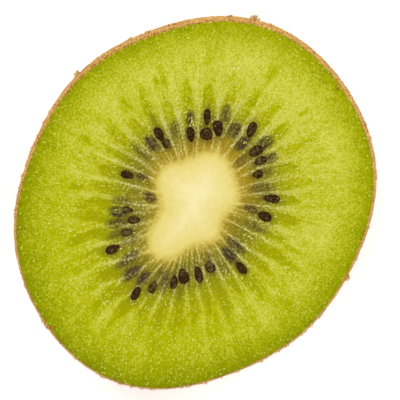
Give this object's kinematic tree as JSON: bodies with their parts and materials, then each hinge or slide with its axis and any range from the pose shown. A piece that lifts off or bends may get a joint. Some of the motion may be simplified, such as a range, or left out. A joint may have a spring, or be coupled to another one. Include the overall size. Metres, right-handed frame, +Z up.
{
  "type": "kiwi slice",
  "caption": "Fresh kiwi slice cut flat on both faces: green flesh with thin brown skin and dark seeds round a pale oval core.",
  "frame": {"origin": "middle of the flat lower face that the slice rests on", "axes": "+X along the slice's long way, +Y across it, +Z up out of the shown cut face"},
  "size_m": [0.0521, 0.0456, 0.0082],
  "materials": {
    "flesh": "moist, slightly see-through green flesh with fine pale specks",
    "core": "dense pale cream pith, satin",
    "skin": "thin brown skin with short fuzz, matt",
    "seed": "smooth dark brown seed, wet gloss"
  },
  "bodies": {
    "root": {"flesh": "flesh", "core": "core"}
  },
  "joints": []
}
